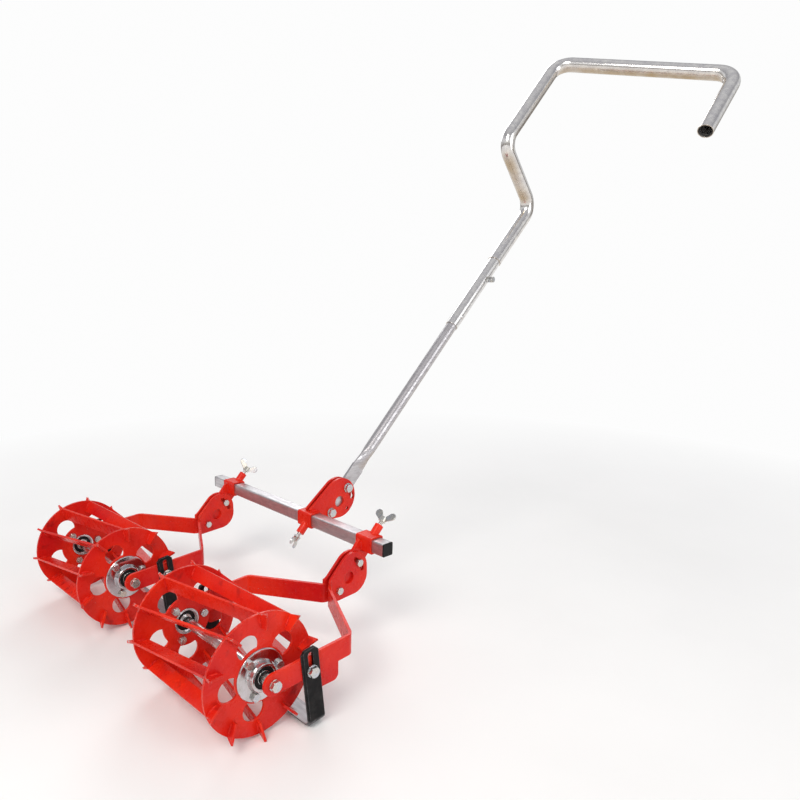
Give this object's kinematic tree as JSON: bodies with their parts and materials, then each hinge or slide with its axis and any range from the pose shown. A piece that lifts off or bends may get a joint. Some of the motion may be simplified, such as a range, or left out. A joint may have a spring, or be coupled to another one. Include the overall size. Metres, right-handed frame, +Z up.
{
  "type": "two-row rolling cultivator with stirrup hoes",
  "caption": "Hand-pushed weeder for row crops: cage rollers and stirrup hoes on an adjustable crossbar, with a bent tube handle.",
  "frame": {"origin": "on the ground under the middle of the tool's overall box", "axes": "+X to the tool's right side along the roller axles and the crossbar, -Y the way it is pushed, +Z up"},
  "size_m": [0.8422, 1.32, 1.1972],
  "materials": {
    "red_paint": "gloss powder coat",
    "zinc_tube": "bright galvanised",
    "zinc_fastener": "zinc plated",
    "bright_flange": "pressed and bright zinc plated",
    "bearing_steel": "ground",
    "seal_rubber": "matt",
    "cap_plastic": "moulded",
    "hoe_steel": "black painted, worn bright at the bottom"
  },
  "bodies": {
    "bar": {"crossbar": "zinc_tube", "crossbar_caps": "cap_plastic"},
    "left_clamp": {"left_clamp_sleeve": "red_paint", "left_clamp_tongue": "red_paint", "left_pivot_bolt": "zinc_fastener", "left_slot_bolt": "zinc_fastener"},
    "left_wing_screw": {"left_wing_screw": "zinc_fastener"},
    "left_fork": {"left_axle": "zinc_fastener", "left_axle_spacers": "zinc_fastener", "left_axle_bolts": "zinc_fastener", "left_bearing_inner_races": "bearing_steel", "left_fork_outer_arm": "red_paint", "left_fork_inner_arm": "red_paint", "left_stirrup_bolts": "zinc_fastener"},
    "left_roller": {"left_outer_disc": "red_paint", "left_inner_disc": "red_paint", "left_blades": "red_paint", "left_outer_flange": "bright_flange", "left_inner_flange": "bright_flange", "left_flange_bolts": "zinc_fastener", "left_bearing_outer_races": "bearing_steel", "left_bearing_balls": "bearing_steel", "left_bearing_seals": "seal_rubber"},
    "left_hoe": {"left_stirrup_hoe": "hoe_steel"},
    "right_clamp": {"right_clamp_sleeve": "red_paint", "right_clamp_tongue": "red_paint", "right_pivot_bolt": "zinc_fastener", "right_slot_bolt": "zinc_fastener"},
    "right_wing_screw": {"right_wing_screw": "zinc_fastener"},
    "right_fork": {"right_axle": "zinc_fastener", "right_axle_spacers": "zinc_fastener", "right_axle_bolts": "zinc_fastener", "right_bearing_inner_races": "bearing_steel", "right_fork_outer_arm": "red_paint", "right_fork_inner_arm": "red_paint", "right_stirrup_bolts": "zinc_fastener"},
    "right_roller": {"right_outer_disc": "red_paint", "right_inner_disc": "red_paint", "right_blades": "red_paint", "right_outer_flange": "bright_flange", "right_inner_flange": "bright_flange", "right_flange_bolts": "zinc_fastener", "right_bearing_outer_races": "bearing_steel", "right_bearing_balls": "bearing_steel", "right_bearing_seals": "seal_rubber"},
    "right_hoe": {"right_stirrup_hoe": "hoe_steel"},
    "handle_clamp": {"handle_clamp_sleeve": "red_paint", "handle_right_plate": "red_paint", "handle_left_plate": "red_paint", "handle_pivot_bolt": "zinc_fastener"},
    "handle_wing_screw": {"handle_wing_screw": "zinc_fastener"},
    "lower_handle": {"lower_handle_tube": "zinc_tube", "handle_slot_bolt": "zinc_fastener"},
    "coupling": {"coupling_sleeve": "zinc_tube", "coupling_bolt": "zinc_fastener"},
    "upper_handle": {"upper_handle": "zinc_tube"}
  },
  "joints": [
    {"name": "left_clamp_slide", "type": "slide", "parent": "bar", "child": "left_clamp", "axis": [1, 0, 0], "range_m": [-0.02, 0.05]},
    {"name": "left_wing_screw_turn", "type": "hinge", "parent": "left_clamp", "child": "left_wing_screw", "pos_m": [-0.25446, -0.2251, 0.20029], "axis": [0, 0.7071, 0.7071], "range_deg": [0, 720]},
    {"name": "left_fork_tilt", "type": "hinge", "parent": "left_clamp", "child": "left_fork", "pos_m": [-0.26246, -0.30076, 0.12463], "axis": [1, 0, 0], "range_deg": [-11, 14]},
    {"name": "left_roller_spin", "type": "hinge", "parent": "left_fork", "child": "left_roller", "pos_m": [-0.26246, -0.5551, 0.10529], "axis": [1, 0, 0], "continuous": true},
    {"name": "left_hoe_depth", "type": "slide", "parent": "left_fork", "child": "left_hoe", "axis": [0, 0.1219, -0.9925], "range_m": [0, 0.028]},
    {"name": "right_clamp_slide", "type": "slide", "parent": "bar", "child": "right_clamp", "axis": [1, 0, 0], "range_m": [-0.05, 0.02]},
    {"name": "right_wing_screw_turn", "type": "hinge", "parent": "right_clamp", "child": "right_wing_screw", "pos_m": [0.19554, -0.2251, 0.20029], "axis": [0, 0.7071, 0.7071], "range_deg": [0, 720]},
    {"name": "right_fork_tilt", "type": "hinge", "parent": "right_clamp", "child": "right_fork", "pos_m": [0.18754, -0.30076, 0.12463], "axis": [1, 0, 0], "range_deg": [-11, 14]},
    {"name": "right_roller_spin", "type": "hinge", "parent": "right_fork", "child": "right_roller", "pos_m": [0.18754, -0.5551, 0.10529], "axis": [1, 0, 0], "continuous": true},
    {"name": "right_hoe_depth", "type": "slide", "parent": "right_fork", "child": "right_hoe", "axis": [0, 0.1219, -0.9925], "range_m": [0, 0.028]},
    {"name": "handle_clamp_slide", "type": "slide", "parent": "bar", "child": "handle_clamp", "axis": [1, 0, 0], "range_m": [-0.1, 0.06]},
    {"name": "handle_wing_screw_turn", "type": "hinge", "parent": "handle_clamp", "child": "handle_wing_screw", "pos_m": [0.02254, -0.2251, 0.20029], "axis": [0, -0.7071, -0.7071], "range_deg": [0, 720]},
    {"name": "handle_tilt", "type": "hinge", "parent": "handle_clamp", "child": "lower_handle", "pos_m": [0.02254, -0.1741, 0.20229], "axis": [1, 0, 0], "range_deg": [-24, 2]},
    {"name": "coupling_slide", "type": "slide", "parent": "lower_handle", "child": "coupling", "axis": [0, 0.7193, 0.6947], "range_m": [-0.12, 0.12]},
    {"name": "upper_handle_turn", "type": "hinge", "parent": "coupling", "child": "upper_handle", "pos_m": [0.02254, -0.1741, 0.20229], "axis": [0, 0.7193, 0.6947], "range_deg": [-90, 90]}
  ]
}
